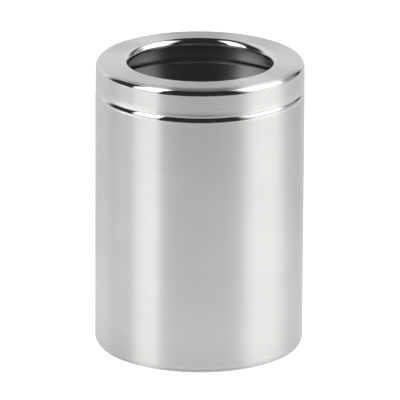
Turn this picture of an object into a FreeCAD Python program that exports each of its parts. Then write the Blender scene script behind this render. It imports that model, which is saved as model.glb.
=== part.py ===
"""Tabletop champagne cooler: a brushed steel cylinder under a lift-off ring top.

Units are millimetres. +Z is up, the axis of the cylinder is the Z axis, and the origin is the
centre of the foot on the surface that the object stands on. Every piece is a solid of revolution,
so each one is described by its section, with X as the radius and Z as the height.
"""

import FreeCAD, Part
import os
from math import sin, tan

# Driving dimensions of the whole object
OUTER_RADIUS = 70.0
OVERALL_HEIGHT = 199.2
BODY_SHEET = 0.8
RING_SHEET = 1.0
EDGE_BREAK = 0.3

# Ring top: flat face, rounded outer edge, skirt, and a lip turned down around the mouth
MOUTH_RADIUS = 48.0
RING_EDGE_ROUND = 5.0
LIP_ROUND = 4.3
LIP_DROP = 4.8
SKIRT_HEIGHT = 19.2

# Body: rounded foot, straight wall, shoulder, and a neck that stands inside the skirt
FLOOR_GAP = 0.6
FOOT_ROUND = 5.5
SHOULDER_TOP_DROP = 18.3
SHOULDER_ROUND = 6.0
SHOULDER_BEND = 1.2
SHOULDER_RISE = 2.3
NECK_RADIUS = 67.5
NECK_TOP_DROP = 3.2
RIM_INNER_RADIUS = 64.2
RIM_BEND = 1.2

# Underside of the body: the sheet steps up to a flange that carries the base plate
RECESS_RADIUS = 62.6
RECESS_SLOPE = 1.2
RECESS_DEPTH = 2.4
RECESS_BEND = 1.2
FLANGE_INNER_RADIUS = 50.0

# Base plate: a disc welded on the flange, with a raised centre
PLATE_RADIUS = 60.6
PLATE_RAISED_RADIUS = 42.0
PLATE_STEP = 2.0
PLATE_BEND = 2.0

# Foot ring: rubber, glued in the recess, with two grip grooves underneath
FOOT_OUTER_RADIUS = 60.4
FOOT_INNER_RADIUS = 51.4
FOOT_EDGE_ROUND = 0.5
GROOVE_CENTRES = (54.4, 57.4)
GROOVE_WIDTH = 1.2
GROOVE_DEPTH = 0.6

# Seat ring: soft ring on the neck that centres the ring top and carries it
SEAT_CLEARANCE = 0.3
SEAT_REST_GAP = 0.05
SEAT_INNER_RADIUS = 63.0
SEAT_SHELF_RADIUS = 65.2
SEAT_LEG = 0.8
SEAT_LEG_DROP = 11.0
SEAT_LEG_TOP_DROP = 4.4

AXIS_POINT = FreeCAD.Vector(0, 0, 0)
AXIS = FreeCAD.Vector(0, 0, 1)


def corner(radius, height, rounding=0.0):
    """A corner of a section, and the radius that rounds it."""
    return FreeCAD.Vector(radius, 0, height), rounding


def unit(a, b):
    """Unit vector from a to b."""
    return (b - a).normalize()


def left_of(direction):
    """The direction a quarter turn to the left in the section plane."""
    return FreeCAD.Vector(-direction.z, 0, direction.x)


def outline(corners):
    """A closed wire of straight sides through the corners, each corner rounded by a tangent arc."""
    trims = []
    for i, (point, rounding) in enumerate(corners):
        if not rounding:
            trims.append((point, None, point))
            continue
        back = unit(point, corners[i - 1][0])
        on = unit(point, corners[(i + 1) % len(corners)][0])
        half = back.getAngle(on) / 2
        reach = rounding / tan(half)
        apex = point + (back + on).normalize() * (rounding / sin(half) - rounding)
        trims.append((point + back * reach, apex, point + on * reach))
    edges = []
    for i, (start, apex, end) in enumerate(trims):
        if apex:
            edges.append(Part.Arc(start, apex, end).toShape())
        following = trims[(i + 1) % len(trims)][0]
        if end.distanceToPoint(following) > 1e-6:
            edges.append(Part.LineSegment(end, following).toShape())
    return Part.Wire(edges)


def sheet(face, thickness):
    """Corners of a bent sheet: one face as given, the other a constant thickness to its left."""
    points = [point for point, _ in face]
    roundings = [rounding for _, rounding in face]
    other = []
    for i, point in enumerate(points):
        if i == 0 or i == len(points) - 1:
            a, b = (point, points[1]) if i == 0 else (points[-2], point)
            other.append((point + left_of(unit(a, b)) * thickness, roundings[i]))
            continue
        before = left_of(unit(points[i - 1], point))
        after = left_of(unit(point, points[i + 1]))
        mitre = (before + after) * (thickness / (1 + before.dot(after)))
        turns_left = before.cross(after).y < 0
        inner = roundings[i] - thickness if turns_left else roundings[i] + thickness
        other.append((point + mitre, inner))
    return face + other[::-1]


def revolved(corners):
    """The solid that the section sweeps in one full turn about the axis."""
    return Part.Face(outline(corners)).revolve(AXIS_POINT, AXIS, 360)


def ring_top():
    """Flat ring with a rounded outer edge and skirt, and a lip turned down into the mouth."""
    top = OVERALL_HEIGHT
    hem = top - SKIRT_HEIGHT
    face = [
        corner(OUTER_RADIUS, hem, EDGE_BREAK),
        corner(OUTER_RADIUS, top, RING_EDGE_ROUND),
        corner(MOUTH_RADIUS, top, LIP_ROUND),
        corner(MOUTH_RADIUS, top - LIP_DROP, EDGE_BREAK),
    ]
    return revolved(sheet(face, RING_SHEET))


def body_shell():
    """Wall with its foot turned in to a flange, and its top drawn in to a shoulder and neck."""
    flange = FLOOR_GAP + RECESS_DEPTH
    shoulder_top = OVERALL_HEIGHT - SHOULDER_TOP_DROP
    shoulder = shoulder_top - SHOULDER_RISE
    rim = OVERALL_HEIGHT - NECK_TOP_DROP
    face = [
        corner(FLANGE_INNER_RADIUS, flange, EDGE_BREAK),
        corner(RECESS_RADIUS - RECESS_SLOPE, flange, RECESS_BEND),
        corner(RECESS_RADIUS, FLOOR_GAP, RECESS_BEND),
        corner(OUTER_RADIUS, FLOOR_GAP, FOOT_ROUND),
        corner(OUTER_RADIUS, shoulder, SHOULDER_ROUND),
        corner(NECK_RADIUS, shoulder_top, SHOULDER_BEND),
        corner(NECK_RADIUS, rim, RIM_BEND),
        corner(RIM_INNER_RADIUS, rim, EDGE_BREAK),
    ]
    return revolved(sheet(face, BODY_SHEET))


def base_plate():
    """Floor of the vessel: a flat margin on the flange, stepped up to a raised centre."""
    margin = FLOOR_GAP + RECESS_DEPTH + BODY_SHEET
    raised = margin + PLATE_STEP
    face = [
        corner(0, raised),
        corner(PLATE_RAISED_RADIUS, raised, PLATE_BEND),
        corner(PLATE_RAISED_RADIUS + PLATE_STEP, margin, PLATE_BEND),
        corner(PLATE_RADIUS, margin, EDGE_BREAK),
    ]
    return revolved(sheet(face, BODY_SHEET))


def foot_ring():
    """Rubber ring under the flange, a little lower than the shell, with grooves for grip."""
    top = FLOOR_GAP + RECESS_DEPTH
    section = [
        corner(FOOT_INNER_RADIUS, top),
        corner(FOOT_INNER_RADIUS, 0, FOOT_EDGE_ROUND),
    ]
    for centre in GROOVE_CENTRES:
        near, far = centre - GROOVE_WIDTH / 2, centre + GROOVE_WIDTH / 2
        section += [
            corner(near, 0),
            corner(near, GROOVE_DEPTH, EDGE_BREAK),
            corner(far, GROOVE_DEPTH, EDGE_BREAK),
            corner(far, 0),
        ]
    section += [
        corner(FOOT_OUTER_RADIUS, 0, FOOT_EDGE_ROUND),
        corner(FOOT_OUTER_RADIUS, top),
    ]
    return revolved(section)


def seat_ring():
    """L-shaped ring: its shelf lies on the neck's rim, its leg hangs round the neck."""
    shelf_top = OVERALL_HEIGHT - RING_SHEET - SEAT_REST_GAP
    shelf_under = OVERALL_HEIGHT - NECK_TOP_DROP + SEAT_REST_GAP
    leg_inner = NECK_RADIUS + SEAT_CLEARANCE
    leg_outer = leg_inner + SEAT_LEG
    leg_end = OVERALL_HEIGHT - SEAT_LEG_DROP
    section = [
        corner(SEAT_INNER_RADIUS, shelf_under, EDGE_BREAK),
        corner(leg_inner, shelf_under),
        corner(leg_inner, leg_end, EDGE_BREAK),
        corner(leg_outer, leg_end, EDGE_BREAK),
        corner(leg_outer, OVERALL_HEIGHT - SEAT_LEG_TOP_DROP, EDGE_BREAK),
        corner(SEAT_SHELF_RADIUS, shelf_top, EDGE_BREAK),
        corner(SEAT_INNER_RADIUS, shelf_top, EDGE_BREAK),
    ]
    return revolved(section)


def main():
    os.makedirs("parts", exist_ok=True)
    for make in (body_shell, base_plate, foot_ring, seat_ring, ring_top):
        solid = make()
        box = solid.BoundBox
        print(
            f"{make.__name__}: valid {solid.isValid()}, volume {solid.Volume:.0f} mm3, "
            f"radius {box.XMax:.2f}, z {box.ZMin:.2f} to {box.ZMax:.2f}"
        )
        solid.exportStep(f"parts/{make.__name__}.step")


main()
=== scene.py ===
"""Champagne cooler of brushed steel on a white floor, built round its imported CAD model.

Every piece is round about the Z axis, so each one is turned from its section: a loop of points
in the plane of the axis, with the radius as x and the height as y, in metres.

The order is: sizes and finishes, sections and turned pieces, materials, the five pieces, studio.
"""

import bmesh
import bpy
import math
from mathutils import Matrix, Quaternion, Vector


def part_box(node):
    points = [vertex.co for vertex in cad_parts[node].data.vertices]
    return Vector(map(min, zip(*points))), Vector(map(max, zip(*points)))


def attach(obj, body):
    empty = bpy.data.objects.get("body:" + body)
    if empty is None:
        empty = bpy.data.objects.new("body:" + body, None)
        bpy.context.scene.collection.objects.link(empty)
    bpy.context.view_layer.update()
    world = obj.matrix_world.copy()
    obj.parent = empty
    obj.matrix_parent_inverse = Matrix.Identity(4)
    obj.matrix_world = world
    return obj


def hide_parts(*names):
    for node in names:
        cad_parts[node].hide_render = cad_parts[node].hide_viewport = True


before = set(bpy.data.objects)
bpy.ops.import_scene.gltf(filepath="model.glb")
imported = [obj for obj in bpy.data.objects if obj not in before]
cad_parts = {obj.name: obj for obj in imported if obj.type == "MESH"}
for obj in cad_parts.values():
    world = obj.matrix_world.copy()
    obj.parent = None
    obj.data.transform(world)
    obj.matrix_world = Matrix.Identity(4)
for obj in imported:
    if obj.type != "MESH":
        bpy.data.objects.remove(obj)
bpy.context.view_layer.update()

MM = 0.001
SEGMENTS = 288
ARC_STEP = math.radians(9)
SHARP_ANGLE = math.radians(40)
LEAST_ARC_STEPS = 3
MERGE_DISTANCE = MM / 1000
FACE_AREA_WEIGHT = 100

# Sizes of the whole object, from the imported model
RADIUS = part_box("ring_top")[1].x
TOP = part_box("ring_top")[1].z
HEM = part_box("ring_top")[0].z
FLOOR_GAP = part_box("body_shell")[0].z
NECK_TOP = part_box("body_shell")[1].z
SEAT_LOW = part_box("seat_ring")[0].z
SEAT_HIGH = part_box("seat_ring")[1].z
SEAT_OUTER_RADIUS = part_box("seat_ring")[1].x
FOOT_OUTER_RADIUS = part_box("foot_ring")[1].x
FOOT_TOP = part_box("foot_ring")[1].z
PLATE_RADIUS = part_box("base_plate")[1].x
PLATE_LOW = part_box("base_plate")[0].z
PLATE_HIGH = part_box("base_plate")[1].z

# Section sizes of each piece
EDGE_BREAK = 0.3 * MM
RING_SHEET = 1.0 * MM
RING_EDGE_ROUND = 5.0 * MM
MOUTH_RADIUS = 48.0 * MM
LIP_ROUND = 4.3 * MM
LIP_DROP = 4.8 * MM
HEM_FLARE = 0.15 * MM
HEM_FLARE_BEND = 3.0 * MM
HEM_FLARE_ROUND = 100 * MM

BODY_SHEET = 0.8 * MM
FLANGE_INNER_RADIUS = 50.0 * MM
RECESS_RADIUS = 62.6 * MM
RECESS_SLOPE = 1.2 * MM
SHEET_BEND = 1.2 * MM
FOOT_ROUND = 5.5 * MM
SHOULDER_ABOVE_HEM = 0.9 * MM
SHOULDER_RISE = 2.3 * MM
SHOULDER_ROUND = 6.0 * MM
SHOULDER_BEND = 1.2 * MM
NECK_RADIUS = 67.5 * MM
RIM_INNER_RADIUS = 64.2 * MM

PLATE_RAISED_RADIUS = 42.0 * MM
PLATE_STEP = 2.0 * MM
PLATE_BEND = 2.0 * MM

FOOT_INNER_RADIUS = 51.4 * MM
FOOT_EDGE_ROUND = 0.5 * MM
GROOVE_CENTRES = (54.4 * MM, 57.4 * MM)
GROOVE_WIDTH = 1.2 * MM
GROOVE_DEPTH = 0.6 * MM

SEAT_INNER_RADIUS = 63.0 * MM
SEAT_SHELF_RADIUS = 65.2 * MM
SEAT_SHELF = 2.1 * MM
SEAT_LEG = 0.8 * MM
SEAT_LEG_TOP = TOP - 4.4 * MM

# Where the steel is polished, as bands beside the edges of the ring and under its hem. Each band
# also reaches a little past the metal, so that its soft edge doesn't show there.
POLISH_EDGE = 0.5 * MM
POLISH_PAST = 1.0 * MM
RING_EDGE_POLISH = 1.45 * MM
RING_EDGE_POLISH_DROP = 4.7 * MM
LIP_POLISH = 3.4 * MM
SHOULDER_POLISH = 4.2 * MM
HEM_FADE = 6.0 * MM

# Finishes. A range is where on the noise, from 0 to 1, one look goes over into the other, and
# shares say how much of each noise is in a mixture.
STEEL_DARK = (0.6, 0.597, 0.586, 1)
STEEL_LIGHT = (0.665, 0.662, 0.649, 1)
STEEL_POLISHED = (0.67, 0.667, 0.655, 1)
STEEL_EDGE_TINT = (0.85, 0.85, 0.85, 1)
HEM_BUFFED = 0.85
SATIN_ROUGHNESS = 0.35
RING_ROUGHNESS = 0.3
INNER_ROUGHNESS = 0.5
SATIN_METALLIC = 0.72  # the rest shades as a matt surface, which gives the broad sheen of satin
PLATE_ROUGHNESS = 0.36
POLISHED_ROUGHNESS = (0.07, 0.12)
ROUGHNESS_SPREAD = 0.03
GRAIN_DEPTH = 0.004 * MM
HIGHLIGHT_TURN = 0.25  # of a turn, so that highlights stretch across the brushing
FINE_GRAIN = (14, 14, 5200)
LONG_GRAIN = (6, 6, 1400)
CLOUDS = (22, 22, 30)
PLAIN_DETAIL = 2
FINE_DETAIL = 3
DUST_DETAIL = 4
STREAK_SHARES = (0.72, 0.28)
CLOUD_SHARES = (0.7, 0.3)
COLOUR_RANGE = (0.3, 0.7)
ROUGHNESS_RANGE = (0.25, 0.75)
SMUDGE_RANGE = (0.2, 0.8)
POLISHED_RELIEF = 0.1
RUBBER_BLACK = (0.018, 0.018, 0.02, 1)
RUBBER_WORN = (0.05, 0.05, 0.05, 1)
RUBBER_ROUGHNESS = 0.75
SILICONE_GREY = (0.05, 0.05, 0.055, 1)
SILICONE_WORN = (0.09, 0.09, 0.09, 1)
SILICONE_ROUGHNESS = 0.5
RUBBER_SKIN = (2500, 2500, 2500)
RUBBER_DUST = (90, 90, 260)
RUBBER_BUMP = 0.05 * MM
RUBBER_RELIEF = 0.35
RUBBER_SPREAD = 0.08
WORN_RANGE = (0.5, 0.75)
DUST_RANGE = (0.3, 0.7)

# Camera: a long lens in front of the object, a little above it
CAMERA_DISTANCE = 4.519
CAMERA_ELEVATION = math.radians(17.95)
CAMERA_ROLL = math.radians(0.33)
CAMERA_SIDE = 0.4 * MM
CAMERA_LENS = 605.25
CAMERA_SENSOR = 36
CAMERA_REACH = 50
AIM_HEIGHT = 0.5038 * TOP

# Studio: a white table with a painted glow, most in front of the object, and a painted shadow
# close to it, and light from the directions round it. Azimuth 0 is the front, positive to the
# right; each edge is (where, how soft), in degrees. BACK_SPAN is counted from the back instead:
# its left end, its right end, how soft. BACK_UP_TO is the elevation where the back's light
# starts to fade, and where it has gone.
FLOOR_HALF = 12
TABLE_COLOUR = (0.3, 0.3, 0.3, 1)
TABLE_END = (0.5, 0.75)
TABLE_SIDE = (-0.3, 0.05)
# painted contact shadow: where the table's glow is dimmed close to the object, and how much
PAINTED_SHADOW_REACH = (0.06, 0.15)
SHADOW_BEHIND = 0.03
FRONT_GLOW = 1.14
BACK_GLOW = 0.62
PAINTED_SHADOW_GLOW = 0.6
FRONT_LIGHT = 0.03
BACK_LIGHT = 0.97
BACK_SPAN = (-62, 35, 18)
BACK_UP_TO = (46, 62)
SOFT_BOXES = (
    {"left": (-78, 6), "right": (-46, 6), "low": (-30, 12), "high": (14, 12), "strength": 0.9},
    {"left": (-78, 6), "right": (-46, 6), "low": (14, 12), "high": (64, 12), "strength": 3.3},
    {"left": (54, 24), "right": (104, 20), "low": (-30, 12), "high": (14, 12), "strength": 1.05},
    {"left": (54, 24), "right": (104, 20), "low": (14, 12), "high": (64, 12), "strength": 2.65},
    {"left": (104, 20), "right": (130, 16), "low": (-30, 12), "high": (34, 14), "strength": 0.4},
    {"left": (104, 20), "right": (130, 16), "low": (34, 14), "high": (64, 12), "strength": 2.4},
)


# ---------------------------------------------------------------- sections and turned pieces

def corner(radius, height, rounding=0.0):
    """A corner of a section, and the radius that rounds it."""
    return Vector((radius, height)), rounding


def rounded(corners):
    """Points of the closed section, with each corner rounded by a tangent arc."""
    points = []
    for i, (point, rounding) in enumerate(corners):
        if not rounding:
            points.append(point)
            continue
        back = (corners[i - 1][0] - point).normalized()
        on = (corners[(i + 1) % len(corners)][0] - point).normalized()
        half = back.angle(on) / 2
        centre = point + (back + on).normalized() * (rounding / math.sin(half))
        start = point + back * (rounding / math.tan(half)) - centre
        end = point + on * (rounding / math.tan(half)) - centre
        turn = math.atan2(start.cross(end), start.dot(end))
        steps = max(LEAST_ARC_STEPS, round(abs(turn) / ARC_STEP))
        for k in range(steps + 1):
            points.append(centre + Matrix.Rotation(turn * k / steps, 2) @ start)
    return points


def sheet(face, thickness):
    """Corners of a bent sheet: one face as given, the other a constant thickness to its left."""
    points = [point for point, _ in face]
    sides = [(b - a).normalized() for a, b in zip(points, points[1:])]
    lefts = [Vector((-side.y, side.x)) for side in sides]
    other = [(points[0] + lefts[0] * thickness, face[0][1])]
    for before, after, (point, rounding) in zip(lefts, lefts[1:], face[1:]):
        mitre = (before + after) * (thickness / (1 + before.dot(after)))
        turns_left = before.cross(after) > 0
        other.append((point + mitre, rounding - thickness if turns_left else rounding + thickness))
    other.append((points[-1] + lefts[-1] * thickness, face[-1][1]))
    return face + other[::-1]


def turned(name, corners, node, body, material):
    """The piece that a section sweeps in a full turn. It stands for its CAD node."""
    section = rounded(corners)
    work = bmesh.new()
    rings = []
    for s in range(SEGMENTS):
        turn = Matrix.Rotation(2 * math.pi * s / SEGMENTS, 3, "Z")
        rings.append([work.verts.new(turn @ Vector((p.x, 0, p.y))) for p in section])
    for here, there in zip(rings, rings[1:] + rings[:1]):
        for k in range(len(section)):
            work.faces.new((here[k - 1], there[k - 1], there[k], here[k]))
    bmesh.ops.remove_doubles(work, verts=work.verts, dist=MERGE_DISTANCE)
    bmesh.ops.recalc_face_normals(work, faces=work.faces)
    mesh = bpy.data.meshes.new(name)
    work.to_mesh(mesh)
    work.free()
    mesh.shade_smooth()
    mesh.set_sharp_from_angle(angle=SHARP_ANGLE)
    mesh.materials.append(material)
    piece = bpy.data.objects.new(name, mesh)
    bpy.context.scene.collection.objects.link(piece)
    shading = piece.modifiers.new("even_shading", "WEIGHTED_NORMAL")
    shading.weight = FACE_AREA_WEIGHT
    shading.keep_sharp = True
    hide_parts(node)
    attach(piece, body)
    return piece


# ---------------------------------------------------------------- material helpers

class Shader:
    """A node tree, with short ways to add the nodes that the materials here are made of."""

    def __init__(self, tree):
        self.tree = tree
        tree.nodes.clear()

    def node(self, kind, **settings):
        made = self.tree.nodes.new(kind)
        for name, value in settings.items():
            setattr(made, name, value)
        return made

    def put(self, socket, value):
        """Links an output to a socket, or sets the socket to a plain value."""
        if isinstance(value, bpy.types.NodeSocket):
            self.tree.links.new(value, socket)
        else:
            socket.default_value = value

    def math(self, operation, *values):
        made = self.node("ShaderNodeMath", operation=operation)
        for socket, value in zip(made.inputs, values):
            self.put(socket, value)
        return made.outputs[0]

    def step(self, value, start, end, low=0.0, high=1.0):
        """Goes smoothly from low to high while value goes from start to end."""
        made = self.node("ShaderNodeMapRange", interpolation_type="SMOOTHSTEP")
        limits = {"From Min": start, "From Max": end, "To Min": low, "To Max": high}
        self.put(made.inputs["Value"], value)
        for name, limit in limits.items():
            made.inputs[name].default_value = limit
        return made.outputs[0]

    def band(self, value, low, high, soft):
        """1 between low and high, 0 outside, with soft edges centred on both."""
        rise = self.step(value, low - soft / 2, low + soft / 2)
        fall = self.step(value, high - soft / 2, high + soft / 2, 1.0, 0.0)
        return self.math("MULTIPLY", rise, fall)

    def noise(self, vector, scale, detail=PLAIN_DETAIL):
        """Noise from 0 to 1 whose grain is stretched by a scale along each axis."""
        stretched = self.node("ShaderNodeMapping")
        self.put(stretched.inputs["Vector"], vector)
        stretched.inputs["Scale"].default_value = scale
        made = self.node("ShaderNodeTexNoise")
        self.put(made.inputs["Vector"], stretched.outputs[0])
        made.inputs["Scale"].default_value = 1.0
        made.inputs["Detail"].default_value = detail
        return made.outputs["Fac"]

    def distance(self, x, y):
        """Distance of the point x, y from the origin."""
        squares = self.math("ADD", self.math("MULTIPLY", x, x), self.math("MULTIPLY", y, y))
        return self.math("SQRT", squares)

    def weighted(self, *shares):
        """Sum of values, each multiplied by its share."""
        total = 0.0
        for value, share in shares:
            total = self.math("ADD", total, self.math("MULTIPLY", value, share))
        return total

    def mixed(self, amount, first, second):
        """Value that goes from first to second as amount goes from 0 to 1."""
        made = self.node("ShaderNodeMix", data_type="FLOAT")
        self.put(made.inputs["Factor"], amount)
        self.put(made.inputs["A"], first)
        self.put(made.inputs["B"], second)
        return made.outputs["Result"]

    def bump(self, height, strength, distance):
        """Normal of a surface whose relief is the height, at most the distance deep."""
        made = self.node("ShaderNodeBump")
        self.put(made.inputs["Height"], height)
        self.put(made.inputs["Strength"], strength)
        made.inputs["Distance"].default_value = distance
        return made.outputs[0]

    def blend(self, amount, first, second):
        """Colour that goes from first to second as amount goes from 0 to 1."""
        made = self.node("ShaderNodeMix", data_type="RGBA")
        colours = [socket for socket in made.inputs if socket.type == "RGBA"]
        self.put(made.inputs["Factor"], amount)
        self.put(colours[0], first)
        self.put(colours[1], second)
        return [socket for socket in made.outputs if socket.type == "RGBA"][0]

    def round_coordinates(self):
        """Radius and height of a point of the object, and the vector whose z runs across a turned
        sheet, up a wall and inwards over a flat, so that grain made with it runs round the axis."""
        place = self.node("ShaderNodeSeparateXYZ")
        self.put(place.inputs[0], self.node("ShaderNodeTexCoord").outputs["Object"])
        x, y, height = place.outputs
        radius = self.distance(x, y)
        around = self.node("ShaderNodeCombineXYZ")
        for socket, value in zip(around.inputs, (x, y, self.math("SUBTRACT", height, radius))):
            self.put(socket, value)
        return radius, height, around.outputs[0]


def surface(name):
    """A new material's shader, and its Principled node, linked to the output."""
    material = bpy.data.materials.new(name)
    material.use_nodes = True
    shader = Shader(material.node_tree)
    principled = shader.node("ShaderNodeBsdfPrincipled")
    output = shader.node("ShaderNodeOutputMaterial")
    shader.put(output.inputs["Surface"], principled.outputs[0])
    return material, shader, principled


def polish_map(shader, radius, height, zones):
    """1 inside the polished zones and 0 outside. A zone is a radius range and a height range."""
    polish = 0.0
    for radii, heights in zones:
        across = shader.band(radius, *radii, POLISH_EDGE)
        along = shader.band(height, *heights, POLISH_EDGE)
        polish = shader.math("MAXIMUM", polish, shader.math("MULTIPLY", across, along))
    return polish


def steel(name, polished=(), satin=SATIN_ROUGHNESS, inner=0.0, hem=None):
    """Steel brushed round the axis, with polished zones.

    The brushing fades out towards a hem. Inside the radius inner the sheet is bare and coarser.
    """
    material, shader, principled = surface(name)
    radius, height, around = shader.round_coordinates()
    polish = polish_map(shader, radius, height, polished)
    if hem is not None:
        buffed = shader.step(height, hem, hem + HEM_FADE, HEM_BUFFED, 0.0)
        polish = shader.math("MAXIMUM", polish, buffed)
    fine = shader.noise(around, FINE_GRAIN, FINE_DETAIL)
    long = shader.noise(around, LONG_GRAIN)
    cloud = shader.noise(around, CLOUDS)
    streaks = shader.weighted((fine, STREAK_SHARES[0]), (long, STREAK_SHARES[1]))
    uneven = shader.weighted((streaks, CLOUD_SHARES[0]), (cloud, CLOUD_SHARES[1]))
    colour = shader.blend(shader.step(uneven, *COLOUR_RANGE), STEEL_DARK, STEEL_LIGHT)
    rough = shader.step(streaks, *ROUGHNESS_RANGE, satin - ROUGHNESS_SPREAD, satin + ROUGHNESS_SPREAD)
    outer = shader.step(radius, inner - POLISH_EDGE / 2, inner + POLISH_EDGE / 2)
    rough = shader.mixed(outer, INNER_ROUGHNESS, rough)
    smooth = shader.step(cloud, *SMUDGE_RANGE, *POLISHED_ROUGHNESS)
    shader.put(principled.inputs["Base Color"], shader.blend(polish, colour, STEEL_POLISHED))
    shader.put(principled.inputs["Roughness"], shader.mixed(polish, rough, smooth))
    relief = shader.mixed(polish, 1.0, POLISHED_RELIEF)
    shader.put(principled.inputs["Normal"], shader.bump(fine, relief, GRAIN_DEPTH))
    tangent = shader.node("ShaderNodeTangent", direction_type="RADIAL", axis="Z")
    shader.put(principled.inputs["Tangent"], tangent.outputs[0])
    bare = shader.math("MAXIMUM", polish, shader.math("SUBTRACT", 1.0, outer))
    shader.put(principled.inputs["Metallic"], shader.mixed(bare, SATIN_METALLIC, 1.0))
    principled.inputs["Specular Tint"].default_value = STEEL_EDGE_TINT
    principled.inputs["Anisotropic"].default_value = 1.0
    principled.inputs["Anisotropic Rotation"].default_value = HIGHLIGHT_TURN
    return material


def soft_ring(name, colour, worn_colour, roughness):
    """Moulded rubber or silicone: a fine matt skin with dusty, slightly worn patches."""
    material, shader, principled = surface(name)
    _, _, around = shader.round_coordinates()
    skin = shader.noise(around, RUBBER_SKIN, FINE_DETAIL)
    dust = shader.noise(around, RUBBER_DUST, DUST_DETAIL)
    worn = shader.step(dust, *WORN_RANGE)
    rough = shader.step(dust, *DUST_RANGE, roughness - RUBBER_SPREAD, roughness + RUBBER_SPREAD)
    shader.put(principled.inputs["Base Color"], shader.blend(worn, colour, worn_colour))
    shader.put(principled.inputs["Roughness"], rough)
    shader.put(principled.inputs["Normal"], shader.bump(skin, RUBBER_RELIEF, RUBBER_BUMP))
    return material


# ---------------------------------------------------------------- pieces

def ring_top():
    """Flat ring with a rounded outer edge, a skirt that flares a little at its hem, and a lip
    turned down into the mouth."""
    face = [
        corner(RADIUS, HEM, EDGE_BREAK),
        corner(RADIUS - HEM_FLARE, HEM + HEM_FLARE_BEND, HEM_FLARE_ROUND),
        corner(RADIUS - HEM_FLARE, TOP, RING_EDGE_ROUND),
        corner(MOUTH_RADIUS, TOP, LIP_ROUND),
        corner(MOUTH_RADIUS, TOP - LIP_DROP, EDGE_BREAK),
    ]
    edge_radii = (RADIUS - RING_EDGE_POLISH, RADIUS + POLISH_PAST)
    edge_heights = (TOP - RING_EDGE_POLISH_DROP, TOP + POLISH_PAST)
    lip_radii = (0, MOUTH_RADIUS + LIP_POLISH)
    lip_heights = (TOP - LIP_DROP - POLISH_PAST, TOP + POLISH_PAST)
    polished = [(edge_radii, edge_heights), (lip_radii, lip_heights)]
    finish = steel("ring_steel", polished, satin=RING_ROUGHNESS, hem=HEM)
    section = sheet(face, RING_SHEET)
    return turned("ring_top_steel", section, "ring_top", "top", finish)


def body_shell():
    """Wall with its foot turned in to a flange, and its top drawn in to a shoulder and neck."""
    shoulder_top = HEM + SHOULDER_ABOVE_HEM
    shoulder = shoulder_top - SHOULDER_RISE
    face = [
        corner(FLANGE_INNER_RADIUS, FOOT_TOP, EDGE_BREAK),
        corner(RECESS_RADIUS - RECESS_SLOPE, FOOT_TOP, SHEET_BEND),
        corner(RECESS_RADIUS, FLOOR_GAP, SHEET_BEND),
        corner(RADIUS, FLOOR_GAP, FOOT_ROUND),
        corner(RADIUS, shoulder, SHOULDER_ROUND),
        corner(NECK_RADIUS, shoulder_top, SHOULDER_BEND),
        corner(NECK_RADIUS, NECK_TOP, SHEET_BEND),
        corner(RIM_INNER_RADIUS, NECK_TOP, EDGE_BREAK),
    ]
    bend_radii = (NECK_RADIUS - BODY_SHEET / 2, RADIUS + POLISH_PAST)
    bend_heights = (HEM - SHOULDER_POLISH, NECK_TOP + POLISH_PAST)
    finish = steel("body_steel", [(bend_radii, bend_heights)], inner=RADIUS - BODY_SHEET / 2)
    section = sheet(face, BODY_SHEET)
    return turned("body_shell_steel", section, "body_shell", "vessel", finish)


def base_plate():
    """Floor of the vessel: a flat margin on the flange, stepped up to a raised centre."""
    margin = PLATE_LOW
    raised = PLATE_HIGH - BODY_SHEET
    face = [
        corner(0, raised),
        corner(PLATE_RAISED_RADIUS, raised, PLATE_BEND),
        corner(PLATE_RAISED_RADIUS + PLATE_STEP, margin, PLATE_BEND),
        corner(PLATE_RADIUS, margin, EDGE_BREAK),
    ]
    finish = steel("plate_steel_sheet", satin=PLATE_ROUGHNESS)
    section = sheet(face, BODY_SHEET)
    return turned("base_plate_steel", section, "base_plate", "vessel", finish)


def foot_ring():
    """Rubber ring under the flange, a little lower than the shell, with grooves for grip."""
    section = [corner(FOOT_INNER_RADIUS, FOOT_TOP), corner(FOOT_INNER_RADIUS, 0, FOOT_EDGE_ROUND)]
    for centre in GROOVE_CENTRES:
        near, far = centre - GROOVE_WIDTH / 2, centre + GROOVE_WIDTH / 2
        section += [
            corner(near, 0),
            corner(near, GROOVE_DEPTH, EDGE_BREAK),
            corner(far, GROOVE_DEPTH, EDGE_BREAK),
            corner(far, 0),
        ]
    section += [corner(FOOT_OUTER_RADIUS, 0, FOOT_EDGE_ROUND), corner(FOOT_OUTER_RADIUS, FOOT_TOP)]
    finish = soft_ring("foot_rubber_matt", RUBBER_BLACK, RUBBER_WORN, RUBBER_ROUGHNESS)
    return turned("foot_ring_rubber", section, "foot_ring", "vessel", finish)


def seat_ring():
    """L-shaped ring: its shelf lies on the neck's rim, its leg hangs round the neck."""
    shelf_under = SEAT_HIGH - SEAT_SHELF
    leg_inner = SEAT_OUTER_RADIUS - SEAT_LEG
    section = [
        corner(SEAT_INNER_RADIUS, shelf_under, EDGE_BREAK),
        corner(leg_inner, shelf_under),
        corner(leg_inner, SEAT_LOW, EDGE_BREAK),
        corner(SEAT_OUTER_RADIUS, SEAT_LOW, EDGE_BREAK),
        corner(SEAT_OUTER_RADIUS, SEAT_LEG_TOP, EDGE_BREAK),
        corner(SEAT_SHELF_RADIUS, SEAT_HIGH, EDGE_BREAK),
        corner(SEAT_INNER_RADIUS, SEAT_HIGH, EDGE_BREAK),
    ]
    finish = soft_ring("seat_silicone_satin", SILICONE_GREY, SILICONE_WORN, SILICONE_ROUGHNESS)
    return turned("seat_ring_silicone", section, "seat_ring", "seat", finish)


# ---------------------------------------------------------------- studio

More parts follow.
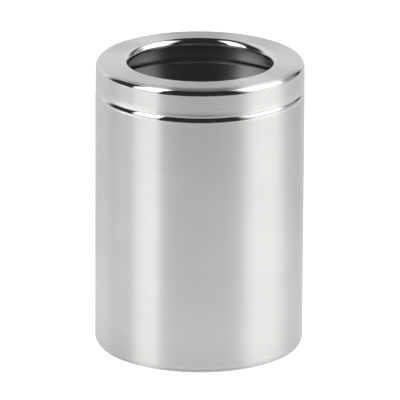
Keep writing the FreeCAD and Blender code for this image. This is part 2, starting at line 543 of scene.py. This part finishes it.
def camera():
    """Camera in front of the object, aimed at the middle of its height."""
    back = Vector((0, -math.cos(CAMERA_ELEVATION), math.sin(CAMERA_ELEVATION)))
    data = bpy.data.cameras.new("camera")
    data.lens = CAMERA_LENS
    data.sensor_width = CAMERA_SENSOR
    data.clip_end = CAMERA_REACH
    holder = bpy.data.objects.new("camera", data)
    holder.location = Vector((CAMERA_SIDE, 0, AIM_HEIGHT)) + back * CAMERA_DISTANCE
    holder.rotation_mode = "QUATERNION"
    aimed = (-back).to_track_quat("-Z", "Y")
    holder.rotation_quaternion = aimed @ Quaternion((0, 0, 1), CAMERA_ROLL)
    bpy.context.scene.collection.objects.link(holder)
    bpy.context.scene.camera = holder


def floor_point(shader):
    """How far a point of the floor is in front of the axis, and from the middle of the painted
    shadow.
    """
    place = shader.node("ShaderNodeSeparateXYZ")
    shader.put(place.inputs[0], shader.node("ShaderNodeTexCoord").outputs["Object"])
    x, y, _ = place.outputs
    forward = shader.math("MULTIPLY", y, -1.0)
    away = shader.distance(x, shader.math("SUBTRACT", y, SHADOW_BEHIND))
    return forward, away


def floor():
    """White table with a painted glow, brightest in front of the object, and a painted shadow close
    to it.

    The camera sees it pure white without an end. The object sees it end in front, with the dark
    studio past it. From below it is clear, so that the object's underside can be looked at.
    """
    corners = [(x, y, 0) for x, y in ((-1, -1), (1, -1), (1, 1), (-1, 1))]
    mesh = bpy.data.meshes.new("floor")
    mesh.from_pydata([Vector(point) * FLOOR_HALF for point in corners], [], [(0, 1, 2, 3)])
    material = bpy.data.materials.new("floor_white_painted_glow")
    material.use_nodes = True
    shader = Shader(material.node_tree)
    forward, away = floor_point(shader)
    seen = shader.node("ShaderNodeLightPath").outputs["Is Camera Ray"]
    # painted glow: the table glows brighter in front of the object than behind it
    side = shader.step(forward, *TABLE_SIDE, BACK_GLOW, FRONT_GLOW)
    # painted contact shadow: the glow is dimmer close to the object
    painted_contact_shadow = shader.step(away, *PAINTED_SHADOW_REACH, PAINTED_SHADOW_GLOW, 1.0)
    glow = shader.math("MULTIPLY", side, painted_contact_shadow)
    lit = shader.node("ShaderNodeEmission")
    shader.put(lit.inputs["Strength"], shader.math("MAXIMUM", glow, seen))
    matt = shader.node("ShaderNodeBsdfDiffuse")
    matt.inputs["Color"].default_value = TABLE_COLOUR
    both = shader.node("ShaderNodeAddShader")
    shader.put(both.inputs[0], matt.outputs[0])
    shader.put(both.inputs[1], lit.outputs[0])
    table = shader.math("MAXIMUM", shader.step(forward, *TABLE_END, 1.0, 0.0), seen)
    below = shader.node("ShaderNodeNewGeometry").outputs["Backfacing"]
    clear = shader.node("ShaderNodeBsdfTransparent")
    sided = shader.node("ShaderNodeMixShader")
    above = shader.math("SUBTRACT", 1.0, below)
    shader.put(sided.inputs[0], shader.math("MULTIPLY", table, above))
    shader.put(sided.inputs[1], clear.outputs[0])
    shader.put(sided.inputs[2], both.outputs[0])
    output = shader.node("ShaderNodeOutputMaterial")
    shader.put(output.inputs["Surface"], sided.outputs[0])
    mesh.materials.append(material)
    plane = bpy.data.objects.new("floor", mesh)
    bpy.context.scene.collection.objects.link(plane)


def soft_box(shader, azimuth, elevation, box):
    """Light of one soft box, in the directions between its four soft edges."""
    light = box["strength"]
    for value, edge, low, high in (
        (azimuth, "left", 0.0, 1.0),
        (azimuth, "right", 1.0, 0.0),
        (elevation, "low", 0.0, 1.0),
        (elevation, "high", 1.0, 0.0),
    ):
        where, soft = (math.radians(angle) for angle in box[edge])
        inside = shader.step(value, where - soft / 2, where + soft / 2, low, high)
        light = shader.math("MULTIPLY", light, inside)
    return light


def studio_light():
    """Light from all round: a pale back, a dark front, and soft boxes on the left and right."""
    world = bpy.data.worlds.new("studio")
    bpy.context.scene.world = world
    world.use_nodes = True
    shader = Shader(world.node_tree)
    direction = shader.node("ShaderNodeSeparateXYZ")
    shader.put(direction.inputs[0], shader.node("ShaderNodeTexCoord").outputs["Generated"])
    x, y, z = direction.outputs
    azimuth = shader.math("ARCTAN2", x, shader.math("MULTIPLY", y, -1.0))
    elevation = shader.math("ARCSINE", z)
    behind = shader.band(shader.math("ARCTAN2", x, y), *map(math.radians, BACK_SPAN))
    low = shader.step(elevation, *map(math.radians, BACK_UP_TO), BACK_LIGHT, 0.0)
    light = shader.math("ADD", shader.math("MULTIPLY", behind, low), FRONT_LIGHT)
    for box in SOFT_BOXES:
        light = shader.math("ADD", light, soft_box(shader, azimuth, elevation, box))
    seen = shader.node("ShaderNodeLightPath").outputs["Is Camera Ray"]
    background = shader.node("ShaderNodeBackground")
    background.inputs["Color"].default_value = (1, 1, 1, 1)
    shader.put(background.inputs["Strength"], shader.math("MAXIMUM", light, seen))
    output = shader.node("ShaderNodeOutputWorld")
    shader.put(output.inputs["Surface"], background.outputs[0])


ring_top()
body_shell()
base_plate()
foot_ring()
seat_ring()
camera()
floor()
studio_light()
bpy.context.scene.view_settings.view_transform = "Standard"
